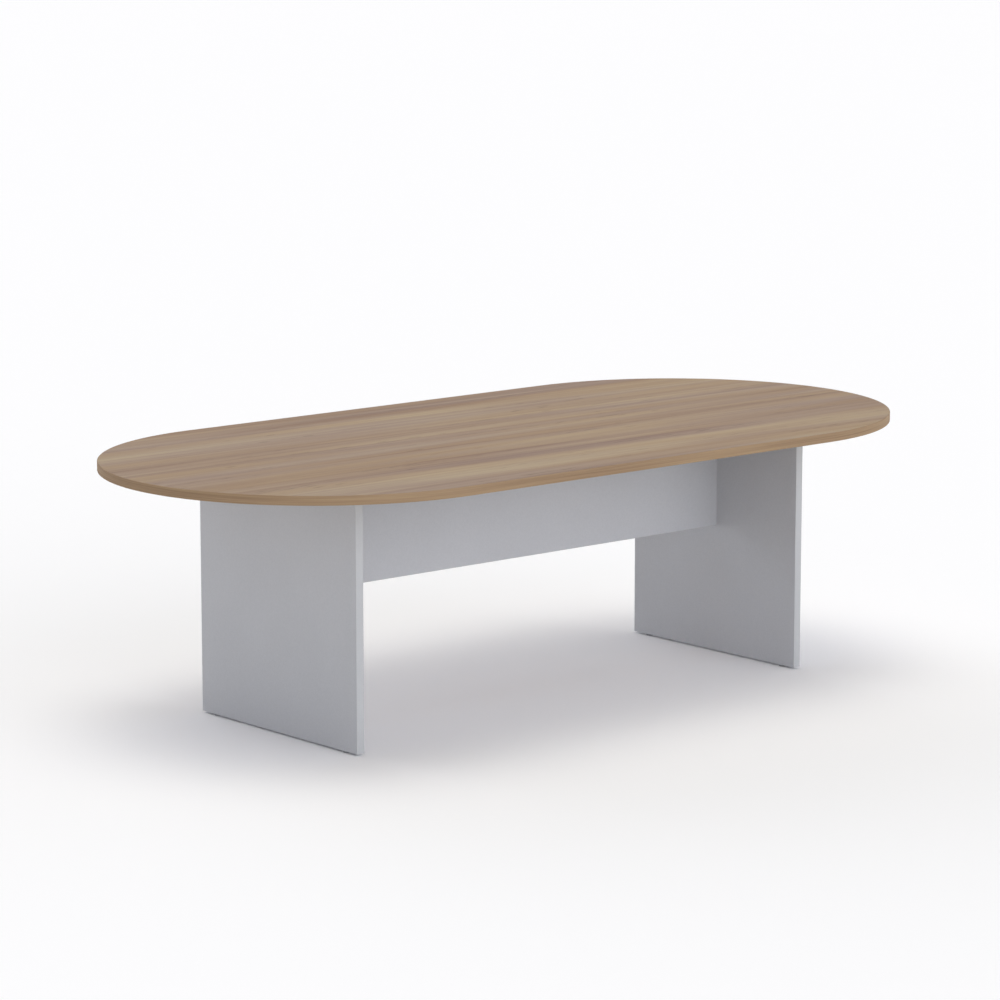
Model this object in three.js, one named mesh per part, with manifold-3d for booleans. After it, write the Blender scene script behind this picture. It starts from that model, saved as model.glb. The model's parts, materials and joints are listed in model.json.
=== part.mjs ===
// Conference table: a racetrack top on two slab legs, tied together by a modesty panel.
// Millimetres, +Z up, origin on the floor under the middle of the top, +X along the table, -Y front.
import * as THREE from 'three';
import { mergeVertices } from 'three/addons/utils/BufferGeometryUtils.js';
import Module from 'manifold-3d';

const wasm = await Module();
wasm.setup();

// Overall sizes
const TABLE_LENGTH = 2500;
const TABLE_WIDTH = 1200;
const TABLE_HEIGHT = 730;
const BOARD = 25; // thickness of every board
const LEG_WIDTH = 672; // front to rear, over its edge bands
const LEG_SPACING = 1600; // between the middles of the two legs
const PANEL_HEIGHT = 330; // modesty panel, over its edge band
const FOOT_GAP = 5; // shadow gap between leg and floor

// Edge bands
const BAND = 2; // strip on the edges that show
const UNDER_BAND = 1; // strip under a leg
const GLUE_LINE = 0.2; // between the top and the strip round it
const BAND_ARRIS = 1.5; // rounding along a band's outer corners
const ARRIS_STEPS = 2;

// Where the fixings sit, on a 32 mm drilling grid
const GRID = 32;
const LEG_CAM_Y = 7 * GRID;
const LEG_DOWEL_Y = 9 * GRID;
const PANEL_CAM_X = 12 * GRID;
const PANEL_DOWEL_X = 14 * GRID;
const END_CAM_INSET = 2 * GRID; // from the panel's upper and lower edges
const END_DOWEL_INSET = 4 * GRID;
const FOOT_Y = 280;

// Cam drum, let into the face of a board
const CAM_INSET = 34; // from the joint to the drum's axis
const CAM_BORE_R = 7.5;
const CAM_BORE_DEPTH = 18;
const CAM_R = 7.2;
const CAM_SUNK = 0.3; // drum's face below the board's face
const CAM_HEIGHT = 17.2;
const CAM_CHAMFER = 0.6;
const CAM_SWEEP = 200; // degrees of tightening spiral
const CAM_TURN = 160; // degrees from open to locked
const CAVITY_OPEN_R = 5.2; // spiral wall where the bolt's ball goes in
const CAVITY_TIGHT_R = 4.2; // and where the ball is drawn tight
const CAVITY_RETURN = 320; // degrees, where the wall starts back to its open radius
const CROSS_LENGTH = 9; // screwdriver cross
const CROSS_WIDTH = 1.8;
const CROSS_DEPTH = 3;

// Bolt that the drum draws in, screwed into the other board
const BALL_R = 3.4;
const BALL_OFFSET = 1.3; // ball's middle from the drum's axis
const BALL_FLAT = 2.4; // flat end of the ball from its middle
const NECK_R = 1.9;
const NECK_START = 26; // from the joint
const SHANK_R = 3.5;
const CHANNEL_R = 4;
const THREAD_R = 3;
const THREAD_LENGTH = 11;
const THREAD_TIP = 1.5;
const THREAD_HOLE_DEPTH = 12;

// Fluted wooden dowel
const DOWEL_R = 4;
const DOWEL_FLUTE = 0.3;
const DOWEL_FLUTES = 8;
const DOWEL_IN_EDGE = 23.5;
const DOWEL_IN_FACE = 11.5;
const DOWEL_CHAMFER = 1;
const DOWEL_END_SPACE = 0.5;

// Levelling foot: an M8 stud with a hexagon, its swivel pad and its flanged sleeve
const STUD_R = 4;
const STUD_TOP = 32; // above the floor, screwed right in
const STUD_BORE_TOP = 34;
const STUD_CHAMFER = 0.8;
const HEX_R = 9.8; // to its corners
const HEX_SIDES = 6;
const HEX_BOTTOM = 2.6;
const HEX_TOP = 4.7;
const SPIGOT_R = 3.5;
const SPIGOT_BOTTOM = 1.2;
const PAD_R = 11;
const PAD_HEIGHT = 2.4;
const PAD_CHAMFER = 0.6;
const PAD_SOCKET_BOTTOM = 0.9;
const SLEEVE_R = 6;
const SLEEVE_BARB = 0.5;
const SLEEVE_BARBS = 2;
const SLEEVE_LENGTH = 22;
const SLEEVE_FLANGE_R = 9.5;

// Fits and facets
const CLEAR = 0.3; // running space round what sits in a hole
const OVERCUT = 1; // how far a drill starts outside its board
const END_STEPS = 20; // steps in each quarter of the top's round ends
const BORE_FACETS = 16;
const PIN_FACETS = 12;
const BOLT_FACETS = 10;
const BALL_STEPS = 3;
const CAVITY_STEPS = 15;
const SLOT_STEPS = 6;

// Places that follow from the sizes
const UNDERSIDE = TABLE_HEIGHT - BOARD;
const LEG_X = LEG_SPACING / 2;
const LEG_INNER_X = LEG_X - BOARD / 2;
const LEG_BOARD_WIDTH = LEG_WIDTH - 2 * BAND;
const LEG_BOARD_BOTTOM = FOOT_GAP + UNDER_BAND;
const PANEL_BOTTOM = UNDERSIDE - PANEL_HEIGHT;
const CAM_FACE = BOARD / 2 - CAM_SUNK; // from the middle of the board

const FINISHES = {
  woodDecor: { color: 0x9c8570, roughness: 0.5, metalness: 0 },
  woodBand: { color: 0x957d65, roughness: 0.5, metalness: 0 },
  greyMelamine: { color: 0xbbbdc3, roughness: 0.55, metalness: 0 },
  greyBand: { color: 0xb3b5ba, roughness: 0.5, metalness: 0 },
  zinc: { color: 0xb4b6b9, roughness: 0.4, metalness: 0.9 },
  steel: { color: 0xc4c2bb, roughness: 0.35, metalness: 1 },
  beech: { color: 0xcfae82, roughness: 0.8, metalness: 0 },
  nylon: { color: 0x939599, roughness: 0.6, metalness: 0 },
};

const SIDES = Object.entries({ left: -1, right: 1 });
const ENDS = Object.entries({ front: -1, rear: 1 });
const X = new THREE.Vector3(1, 0, 0);
const Y = new THREE.Vector3(0, 1, 0);
const Z = new THREE.Vector3(0, 0, 1);
const DOWN = Z.clone().negate();

const table = new THREE.Group();
table.name = 'conference_table';

// Joining and cutting

function solidOf(geometry) {
  const bare = geometry.clone();
  bare.deleteAttribute('normal');
  bare.deleteAttribute('uv');
  const merged = mergeVertices(bare);
  const vertProperties = new Float32Array(merged.attributes.position.array);
  const triVerts = new Uint32Array(merged.index.array);
  return new wasm.Manifold(new wasm.Mesh({ numProp: 3, vertProperties, triVerts }));
}

function geometryOf(solid) {
  const mesh = solid.getMesh();
  const geometry = new THREE.BufferGeometry();
  geometry.setAttribute('position', new THREE.BufferAttribute(mesh.vertProperties, 3));
  geometry.setIndex(new THREE.BufferAttribute(mesh.triVerts, 1));
  return geometry;
}

function cut(geometry, cutters) {
  let solid = solidOf(geometry);
  for (const cutter of cutters) solid = solid.subtract(solidOf(cutter));
  return geometryOf(solid);
}

function join(first, second) {
  return geometryOf(solidOf(first).add(solidOf(second)));
}

// Turning: a geometry's X, Y and Z are laid along three given directions

function turned(geometry, x, y, z) {
  return geometry.applyMatrix4(new THREE.Matrix4().makeBasis(x, y, z));
}

function alongX(standing) {
  return turned(standing, Y.clone().negate(), X, Z);
}

function alongZ(standing) {
  return turned(standing, X, Z, Y.clone().negate());
}

// Drills and turned pieces

function drillX(radius, from, to, facets) {
  const drill = new THREE.CylinderGeometry(radius, radius, to - from, facets);
  return alongX(drill).translate((from + to) / 2, 0, 0);
}

function drillZ(radius, from, to, facets) {
  const drill = new THREE.CylinderGeometry(radius, radius, to - from, facets);
  return alongZ(drill).translate(0, 0, (from + to) / 2);
}

function revolve(profile, facets) {
  const points = profile.map(([radius, height]) => new THREE.Vector2(radius, height));
  return new THREE.LatheGeometry(points, facets);
}

function addPart(parent, name, geometry, finish, place = [0, 0, 0]) {
  const material = new THREE.MeshStandardMaterial({ ...FINISHES[finish], flatShading: true });
  const mesh = new THREE.Mesh(geometry, material);
  mesh.name = name;
  mesh.position.set(...place);
  parent.add(mesh);
}

// Where two boards meet: X of a fixing's frame runs into its host board, Z out of the host's drilled face

function fixingFrame(place, into, face) {
  const across = new THREE.Vector3().crossVectors(face, into);
  return new THREE.Matrix4().makeBasis(into, across, face).setPosition(...place);
}

function listJoints(legY, endInset, panelX) {
  const joints = [];
  const heights = Object.entries({ upper: UNDERSIDE - endInset, lower: PANEL_BOTTOM + endInset });
  for (const [side, sign] of SIDES) {
    const leg = `${side}_leg`;
    const inward = X.clone().multiplyScalar(-sign);
    for (const [end, way] of ENDS) {
      const frame = fixingFrame([sign * LEG_X, way * legY, UNDERSIDE], DOWN, inward);
      joints.push({ name: `${leg}_${end}`, frame, host: leg, mate: 'top' });
    }
    for (const [level, height] of heights) {
      const frame = fixingFrame([sign * LEG_INNER_X, 0, height], inward, Y);
      joints.push({ name: `modesty_${side}_${level}`, frame, host: 'modesty', mate: leg });
    }
    const frame = fixingFrame([sign * panelX, 0, UNDERSIDE], DOWN, Y);
    joints.push({ name: `modesty_top_${side}`, frame, host: 'modesty', mate: 'top' });
  }
  return joints;
}

function listFeet() {
  const feet = [];
  for (const [side, sign] of SIDES) {
    for (const [end, way] of ENDS) {
      const place = [sign * LEG_X, way * FOOT_Y, 0];
      feet.push({ name: `${side}_${end}_foot`, leg: `${side}_leg`, place });
    }
  }
  return feet;
}

const camJoints = listJoints(LEG_CAM_Y, END_CAM_INSET, PANEL_CAM_X);
const dowelJoints = listJoints(LEG_DOWEL_Y, END_DOWEL_INSET, PANEL_DOWEL_X);
const feet = listFeet();

// Every hole that a board has for its fixings, in the table's frame

function camHoles(board) {
  const holes = [];
  for (const { frame, host, mate } of camJoints) {
    if (host === board) {
      const bore = drillZ(CAM_BORE_R, BOARD / 2 - CAM_BORE_DEPTH, BOARD / 2 + OVERCUT, BORE_FACETS);
      const channel = drillX(CHANNEL_R, -OVERCUT, CAM_INSET, PIN_FACETS);
      holes.push(bore.translate(CAM_INSET, 0, 0).applyMatrix4(frame));
      holes.push(channel.applyMatrix4(frame));
    }
    if (mate === board) {
      const hole = drillX(THREAD_R + CLEAR, -THREAD_HOLE_DEPTH, OVERCUT, BOLT_FACETS);
      holes.push(hole.applyMatrix4(frame));
    }
  }
  return holes;
}

function dowelHoles(board) {
  const holes = [];
  for (const { frame, host, mate } of dowelJoints) {
    if (host === board) {
      const hole = drillX(DOWEL_R + CLEAR, -OVERCUT, DOWEL_IN_EDGE + DOWEL_END_SPACE, PIN_FACETS);
      holes.push(hole.applyMatrix4(frame));
    }
    if (mate === board) {
      const hole = drillX(DOWEL_R + CLEAR, -DOWEL_IN_FACE - DOWEL_END_SPACE, OVERCUT, PIN_FACETS);
      holes.push(hole.applyMatrix4(frame));
    }
  }
  return holes;
}

function footHoles(board) {
  const radius = SLEEVE_R + SLEEVE_BARB + CLEAR;
  const mine = feet.filter(({ leg }) => leg === board);
  return mine.map(({ place }) => {
    return drillZ(radius, FOOT_GAP - OVERCUT, STUD_BORE_TOP, PIN_FACETS).translate(...place);
  });
}

function drilled(geometry, board) {
  return cut(geometry, [...camHoles(board), ...dowelHoles(board), ...footHoles(board)]);
}

// Top: a racetrack board with one strip of edge band right round it

function racetrack(length, width) {
  const radius = width / 2;
  const straight = length / 2 - radius;
  const shape = new THREE.Shape();
  shape.moveTo(-straight, -radius);
  shape.lineTo(straight, -radius);
  shape.absarc(straight, 0, radius, -Math.PI / 2, Math.PI / 2);
  shape.lineTo(-straight, radius);
  shape.absarc(-straight, 0, radius, Math.PI / 2, 1.5 * Math.PI);
  return shape;
}

function racetrackInside(edge, height) {
  const shape = racetrack(TABLE_LENGTH - 2 * edge, TABLE_WIDTH - 2 * edge);
  const settings = { depth: height, bevelEnabled: false, curveSegments: END_STEPS };
  return new THREE.ExtrudeGeometry(shape, settings);
}

function addTop() {
  const board = racetrackInside(BAND, BOARD).translate(0, 0, UNDERSIDE);
  addPart(table, 'table_top_board', drilled(board, 'top'), 'woodDecor');

  const outside = new THREE.ExtrudeGeometry(racetrack(TABLE_LENGTH, TABLE_WIDTH), {
    depth: BOARD - 2 * BAND_ARRIS,
    bevelThickness: BAND_ARRIS,
    bevelSize: BAND_ARRIS,
    bevelOffset: -BAND_ARRIS,
    bevelSegments: ARRIS_STEPS,
    curveSegments: END_STEPS,
  });
  const core = racetrackInside(BAND - GLUE_LINE, BOARD + 2 * OVERCUT).translate(0, 0, -OVERCUT);
  const band = cut(outside.translate(0, 0, BAND_ARRIS), [core]);
  addPart(table, 'table_top_edge_band', band, 'woodBand', [0, 0, UNDERSIDE]);
}

// A length of edge band along Z, glued face on Y = 0 and rounded face towards -Y

function bandStrip(length) {
  const half = BOARD / 2;
  const inner = half - BAND_ARRIS;
  const depth = BAND_ARRIS - BAND;
  const section = new THREE.Shape();
  section.moveTo(half, 0);
  section.lineTo(-half, 0);
  section.lineTo(-half, depth);
  section.absarc(-inner, depth, BAND_ARRIS, Math.PI, 1.5 * Math.PI);
  section.absarc(inner, depth, BAND_ARRIS, 1.5 * Math.PI, 2 * Math.PI);
  const settings = { depth: length, bevelEnabled: false, curveSegments: ARRIS_STEPS };
  return new THREE.ExtrudeGeometry(section, settings);
}

// Legs: a slab with bands on its front, rear and lower edges

function addLeg(side, sign) {
  const height = UNDERSIDE - LEG_BOARD_BOTTOM;
  const slab = new THREE.BoxGeometry(BOARD, LEG_BOARD_WIDTH, height);
  slab.translate(sign * LEG_X, 0, LEG_BOARD_BOTTOM + height / 2);
  addPart(table, `${side}_leg_panel`, drilled(slab, `${side}_leg`), 'greyMelamine');

  for (const [end, way] of ENDS) {
    const strip = bandStrip(UNDERSIDE - FOOT_GAP);
    turned(strip, X.clone().multiplyScalar(-way), Y.clone().multiplyScalar(-way), Z);
    const place = [sign * LEG_X, way * LEG_BOARD_WIDTH / 2, FOOT_GAP];
    addPart(table, `${side}_leg_${end}_edge_band`, strip, 'greyBand', place);
  }

  const sole = new THREE.BoxGeometry(BOARD, LEG_BOARD_WIDTH, UNDER_BAND);
  const holes = ENDS.map(([, way]) => {
    const hole = drillZ(SLEEVE_FLANGE_R + CLEAR, -UNDER_BAND, UNDER_BAND, BORE_FACETS);
    return hole.translate(0, way * FOOT_Y, 0);
  });
  const place = [sign * LEG_X, 0, FOOT_GAP + UNDER_BAND / 2];
  addPart(table, `${side}_leg_bottom_edge_band`, cut(sole, holes), 'greyBand', place);
}

// Modesty panel: stands between the legs on the middle line of the table

function addModestyPanel() {
  const length = 2 * LEG_INNER_X;
  const height = PANEL_HEIGHT - BAND;
  const slab = new THREE.BoxGeometry(length, BOARD, height);
  slab.translate(0, 0, UNDERSIDE - height / 2);
  addPart(table, 'modesty_panel', drilled(slab, 'modesty'), 'greyMelamine');

  const strip = turned(bandStrip(length), Y, Z, X);
  const place = [-LEG_INNER_X, 0, PANEL_BOTTOM + BAND];
  addPart(table, 'modesty_panel_edge_band', strip, 'greyBand', place);
}

// Cam drum, about Z with its open mouth towards +X

function spiralCavity() {
  const outline = [];
  for (let step = 0; step < CAVITY_STEPS; step += 1) {
    const angle = (360 * step) / CAVITY_STEPS;
    const tightening = Math.min(angle / CAM_SWEEP, 1);
    const returning = Math.max((angle - CAVITY_RETURN) / (360 - CAVITY_RETURN), 0);
    const radius = CAVITY_OPEN_R + (CAVITY_TIGHT_R - CAVITY_OPEN_R) * (tightening - returning);
    const turn = THREE.MathUtils.degToRad(angle);
    outline.push(new THREE.Vector2(radius * Math.cos(turn), radius * Math.sin(turn)));
  }
  const height = 2 * (BALL_R + CLEAR);
  const settings = { depth: height, bevelEnabled: false };
  const cavity = new THREE.ExtrudeGeometry(new THREE.Shape(outline), settings);
  return cavity.translate(0, 0, -height / 2);
}

function neckSlot() {
  const height = 2 * (NECK_R + CLEAR);
  const sector = new THREE.Shape();
  sector.moveTo(0, 0);
  sector.absarc(0, 0, CAM_R + OVERCUT, 0, THREE.MathUtils.degToRad(CAM_SWEEP));
  const settings = { depth: height, bevelEnabled: false, curveSegments: SLOT_STEPS };
  return new THREE.ExtrudeGeometry(sector, settings).translate(0, 0, -height / 2);
}

function camDrum() {
  const profile = [
    [0, CAM_FACE - CAM_HEIGHT],
    [CAM_R, CAM_FACE - CAM_HEIGHT],
    [CAM_R, CAM_FACE - CAM_CHAMFER],
    [CAM_R - CAM_CHAMFER, CAM_FACE],
    [0, CAM_FACE],
  ];
  const drum = alongZ(revolve(profile, BORE_FACETS));
  const mouth = drillX(BALL_R + CLEAR, 0, CAM_R + OVERCUT, BOLT_FACETS);
  const slotX = new THREE.BoxGeometry(CROSS_LENGTH, CROSS_WIDTH, 2 * CROSS_DEPTH);
  const slotY = new THREE.BoxGeometry(CROSS_WIDTH, CROSS_LENGTH, 2 * CROSS_DEPTH);
  const cross = join(slotX, slotY).translate(0, 0, CAM_FACE);
  return cut(drum, [spiralCavity(), neckSlot(), mouth, cross]);
}

// Bolt along X: thread in the mating board, then shank, neck and the ball that the drum grips

function camBolt() {
  const ball = CAM_INSET - BALL_OFFSET;
  const profile = [
    [0, -THREAD_LENGTH],
    [THREAD_R - THREAD_TIP, -THREAD_LENGTH],
    [THREAD_R, THREAD_TIP - THREAD_LENGTH],
    [THREAD_R, 0],
    [SHANK_R, 0],
    [SHANK_R, NECK_START],
    [NECK_R, NECK_START],
  ];
  const ballStart = Math.asin(NECK_R / BALL_R);
  const ballEnd = Math.PI - Math.acos(BALL_FLAT / BALL_R);
  for (let step = 0; step <= BALL_STEPS; step += 1) {
    const angle = THREE.MathUtils.lerp(ballStart, ballEnd, step / BALL_STEPS);
    profile.push([BALL_R * Math.sin(angle), ball - BALL_R * Math.cos(angle)]);
  }
  profile.push([0, ball + BALL_FLAT]);
  return alongX(revolve(profile, BOLT_FACETS));
}

function addCamFittings() {
  const locked = THREE.MathUtils.degToRad(180 - CAM_TURN);
  for (const { name, frame } of camJoints) {
    const fitting = new THREE.Group();
    fitting.applyMatrix4(frame);
    table.add(fitting);
    addPart(fitting, `${name}_cam`, camDrum().rotateZ(locked), 'zinc', [CAM_INSET, 0, 0]);
    addPart(fitting, `${name}_cam_bolt`, camBolt(), 'steel');
  }
}

// Dowel along X across the joint, with glue flutes down its length and chamfered ends

function flutedDowel() {
  const outline = [];
  for (let step = 0; step < 2 * DOWEL_FLUTES; step += 1) {
    const radius = step % 2 ? DOWEL_R - DOWEL_FLUTE : DOWEL_R;
    const angle = (Math.PI * step) / DOWEL_FLUTES;
    outline.push(new THREE.Vector2(radius * Math.cos(angle), radius * Math.sin(angle)));
  }
  const dowel = new THREE.ExtrudeGeometry(new THREE.Shape(outline), {
    depth: DOWEL_IN_FACE + DOWEL_IN_EDGE - 2 * DOWEL_CHAMFER,
    bevelThickness: DOWEL_CHAMFER,
    bevelSize: DOWEL_CHAMFER,
    bevelOffset: -DOWEL_CHAMFER,
    bevelSegments: 1,
  });
  return turned(dowel, Y, Z, X).translate(DOWEL_CHAMFER - DOWEL_IN_FACE, 0, 0);
}

function addDowels() {
  for (const { name, frame } of dowelJoints) {
    const joint = new THREE.Group();
    joint.applyMatrix4(frame);
    table.add(joint);
    addPart(joint, `${name}_dowel`, flutedDowel(), 'beech');
  }
}

// Levelling foot, about Z from the floor up

function footPad() {
  const profile = [
    [0, 0],
    [PAD_R - PAD_CHAMFER, 0],
    [PAD_R, PAD_CHAMFER],
    [PAD_R, PAD_HEIGHT - PAD_CHAMFER],
    [PAD_R - PAD_CHAMFER, PAD_HEIGHT],
    [SPIGOT_R + CLEAR, PAD_HEIGHT],
    [SPIGOT_R + CLEAR, PAD_SOCKET_BOTTOM],
    [0, PAD_SOCKET_BOTTOM],
  ];
  return alongZ(revolve(profile, PIN_FACETS));
}

function footStud() {
  const profile = [
    [0, SPIGOT_BOTTOM],
    [SPIGOT_R, SPIGOT_BOTTOM],
    [SPIGOT_R, HEX_BOTTOM],
    [STUD_R, HEX_TOP],
    [STUD_R, STUD_TOP - STUD_CHAMFER],
    [STUD_R - STUD_CHAMFER, STUD_TOP],
    [0, STUD_TOP],
  ];
  const stem = alongZ(revolve(profile, PIN_FACETS));
  return join(stem, drillZ(HEX_R, HEX_BOTTOM, HEX_TOP, HEX_SIDES));
}

function footSleeve() {
  const bore = STUD_R + CLEAR;
  const top = FOOT_GAP + SLEEVE_LENGTH;
  const pitch = (top - LEG_BOARD_BOTTOM) / (SLEEVE_BARBS + 1);
  const profile = [
    [bore, FOOT_GAP],
    [SLEEVE_FLANGE_R, FOOT_GAP],
    [SLEEVE_FLANGE_R, LEG_BOARD_BOTTOM],
    [SLEEVE_R, LEG_BOARD_BOTTOM],
  ];
  for (let barb = 1; barb <= SLEEVE_BARBS; barb += 1) {
    profile.push([SLEEVE_R + SLEEVE_BARB, LEG_BOARD_BOTTOM + pitch * barb]);
    profile.push([SLEEVE_R, LEG_BOARD_BOTTOM + pitch * (barb + 0.5)]);
  }
  profile.push([SLEEVE_R - SLEEVE_BARB, top]);
  profile.push([bore, top]);
  profile.push([bore, FOOT_GAP]);
  return alongZ(revolve(profile, PIN_FACETS));
}

function addFeet() {
  for (const { name, place } of feet) {
    const foot = new THREE.Group();
    foot.position.set(...place);
    table.add(foot);
    addPart(foot, `${name}_pad`, footPad(), 'nylon');
    addPart(foot, `${name}_stud`, footStud(), 'steel');
    addPart(foot, `${name}_sleeve`, footSleeve(), 'nylon');
  }
}

addTop();
for (const [side, sign] of SIDES) addLeg(side, sign);
addModestyPanel();
addCamFittings();
addDowels();
addFeet();

export default table;
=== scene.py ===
# Conference table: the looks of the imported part, in metres, +Z up, front side towards -Y
import json
import math

import bmesh
import bpy
from mathutils import Matrix, Vector


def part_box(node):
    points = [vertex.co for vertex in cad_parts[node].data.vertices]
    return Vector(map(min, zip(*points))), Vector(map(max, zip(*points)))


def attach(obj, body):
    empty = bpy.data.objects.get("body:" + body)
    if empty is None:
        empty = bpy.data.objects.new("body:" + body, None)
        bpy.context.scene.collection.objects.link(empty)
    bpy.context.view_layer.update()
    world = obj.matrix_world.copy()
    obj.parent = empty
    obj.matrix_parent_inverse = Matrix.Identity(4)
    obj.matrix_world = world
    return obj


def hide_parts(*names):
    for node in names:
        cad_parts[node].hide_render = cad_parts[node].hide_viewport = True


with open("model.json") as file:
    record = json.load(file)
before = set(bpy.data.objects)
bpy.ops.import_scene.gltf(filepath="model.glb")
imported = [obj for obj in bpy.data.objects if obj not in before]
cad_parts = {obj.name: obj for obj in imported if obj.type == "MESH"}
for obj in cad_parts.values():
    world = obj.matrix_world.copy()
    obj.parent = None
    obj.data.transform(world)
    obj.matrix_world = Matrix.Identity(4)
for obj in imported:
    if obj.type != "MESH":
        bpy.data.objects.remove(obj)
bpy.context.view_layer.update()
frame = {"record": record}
mm = 0.001  # the dictionaries give a piece's lengths in millimetres and its angles in degrees
tiny = 0.01 * mm
sides = ("left", "right")
ends = ("front", "rear")
behaviour = frame["record"]["behaviour"]
bodyOf = {node: body for body, nodes in behaviour["bodies"].items() for node in nodes}


# Working in object mode and edit mode

def onlyThis(piece):
    if bpy.context.mode != "OBJECT":
        bpy.ops.object.mode_set(mode="OBJECT")
    bpy.ops.object.select_all(action="DESELECT")
    if piece:
        piece.select_set(True)
        bpy.context.view_layer.objects.active = piece


def settle(piece):  # its place goes into the mesh, and the object back to the origin
    onlyThis(piece)
    bpy.ops.object.transform_apply(location=True, rotation=True, scale=True)
    return piece


def openMesh(piece):
    onlyThis(piece)
    bpy.ops.object.mode_set(mode="EDIT")
    bpy.ops.mesh.select_mode(type="VERT")
    bpy.ops.mesh.select_all(action="SELECT")


def closeMesh():  # doubles merged first, then every face turned outwards
    bpy.ops.mesh.select_all(action="SELECT")
    bpy.ops.mesh.remove_doubles(threshold=tiny)
    bpy.ops.mesh.normals_make_consistent(inside=False)
    bpy.ops.object.mode_set(mode="OBJECT")


def pick(piece, kind, test):  # picks what has all its corners where the test says
    bpy.ops.mesh.select_mode(type=kind)
    bpy.ops.mesh.select_all(action="DESELECT")
    cage = bmesh.from_edit_mesh(piece.data)
    for part in {"VERT": cage.verts, "EDGE": cage.edges, "FACE": cage.faces}[kind]:
        corners = [part] if kind == "VERT" else part.verts
        if all(test(corner.co) for corner in corners):
            part.select_set(True)
    bmesh.update_edit_mesh(piece.data)


def near(value, target):
    return abs(value - target) < tiny


def applyModifier(piece, kind, settings):
    onlyThis(piece)
    modifier = piece.modifiers.new(kind.lower(), kind)
    for name, value in settings.items():
        setattr(modifier, name, value)
    bpy.ops.object.modifier_apply(modifier=modifier.name)


def combine(piece, operation, others):  # the others are used up
    for other in others:
        applyModifier(piece, "BOOLEAN", {"object": other, "operation": operation, "solver": "EXACT"})
        bpy.data.objects.remove(other)
    openMesh(piece)
    bpy.ops.mesh.dissolve_degenerate(threshold=tiny / 10)
    closeMesh()
    return piece


def block(low, high):
    onlyThis(None)
    bpy.ops.mesh.primitive_cube_add(size=1)
    bpy.ops.transform.resize(value=high - low)
    bpy.ops.transform.translate(value=(low + high) / 2)
    return settle(bpy.context.object)


def rod(radius, start, finish, facets):
    onlyThis(None)
    run = finish - start
    bpy.ops.mesh.primitive_cylinder_add(
        vertices=facets, radius=radius, depth=run.length,
        location=(start + finish) / 2, rotation=run.to_track_quat("Z", "Y").to_euler())
    return settle(bpy.context.object)


def wire(points):  # one corner drawn out along an outline of (radius, height) in mm
    onlyThis(None)
    bpy.ops.mesh.primitive_plane_add(size=mm)
    piece = bpy.context.object
    openMesh(piece)
    bpy.ops.mesh.merge(type="CENTER")
    radius, height = points[0]
    bpy.ops.transform.translate(value=(radius * mm, 0, height * mm))
    for (radius, height), (nextRadius, nextHeight) in zip(points, points[1:]):
        step = ((nextRadius - radius) * mm, 0, (nextHeight - height) * mm)
        bpy.ops.mesh.extrude_region_move(TRANSFORM_OT_translate={"value": step})
    return piece


def turned(points, steps):  # an outline spun about Z
    piece = wire(points)
    bpy.ops.mesh.select_all(action="SELECT")
    bpy.ops.mesh.spin(steps=steps, angle=math.tau, center=(0, 0, 0), axis=(0, 0, 1))
    closeMesh()
    return piece


def roundRims(piece, rims, offset, segments):  # rims are (radius, height) in mm
    for radius, height in rims:
        openMesh(piece)
        pick(piece, "EDGE", lambda co: near(co.xy.length, radius * mm) and near(co.z, height * mm))
        bpy.ops.mesh.bevel(offset=offset * mm, segments=segments)
        closeMesh()


threadForm = {"land": 0.06, "lead": 1.37, "spareTurns": 3}  # in pitches


def threaded(core, crest, pitch, start, finish, steps):  # a screw thread about Z, cut square at both ends
    turns = math.ceil((finish - start) / pitch) + threadForm["spareTurns"]
    land = threadForm["land"] * pitch
    root = start - threadForm["lead"] * pitch  # no corner of the thread falls on the two cuts
    flank = root + pitch / 2
    piece = wire([(core, root), (crest, flank - land), (crest, flank + land), (core, root + pitch)])
    applyModifier(piece, "SCREW", {"axis": "Z", "angle": math.tau, "screw_offset": pitch * mm,
                                   "iterations": turns, "steps": steps, "render_steps": steps})
    openMesh(piece)
    closeMesh()
    for height, way in ((start, -1), (finish, 1)):
        openMesh(piece)
        bpy.ops.mesh.bisect(plane_co=(0, 0, height * mm), plane_no=(0, 0, way), use_fill=True,
                            clear_outer=True, threshold=tiny / 100)
        closeMesh()
    return piece


def keepOwnPlace(piece):  # remembers the master's own frame, for patterns that follow the piece
    own = piece.data.attributes.new("own", "FLOAT_VECTOR", "POINT")
    for vertex in piece.data.vertices:
        own.data[vertex.index].vector = vertex.co


def copyPiece(master, place):  # place is a matrix from the master's frame to the table's
    onlyThis(master)
    bpy.ops.object.duplicate(linked=False)
    piece = bpy.context.object
    piece.matrix_world = place
    return settle(piece)


crease = 30  # degrees, past which an edge stays sharp


def standFor(piece, node, *materials):
    onlyThis(piece)
    bpy.ops.object.shade_smooth_by_angle(angle=math.radians(crease))
    piece.name = piece.data.name = node + "_finished"
    piece.data.materials.clear()
    for material in materials:
        piece.data.materials.append(material)
    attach(piece, bodyOf[node])
    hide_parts(node)


# Where two boards meet: X of a fixing's frame runs into its host, Z out of the host's drilled face

fixing = {"inset": 34, "board": 25, "dowelInEdge": 23.5, "dowelInFace": 11.5}


def mainWay(run):  # the one axis that a run follows
    axis = max(range(3), key=lambda index: abs(run[index]))
    return Vector([math.copysign(1, run[axis]) if index == axis else 0 for index in range(3)])


def middle(node):
    low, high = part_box(node)
    return (low + high) / 2


def framed(origin, into, face):
    place = Matrix((into, face.cross(into), face)).transposed().to_4x4()
    place.translation = origin
    return place


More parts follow.
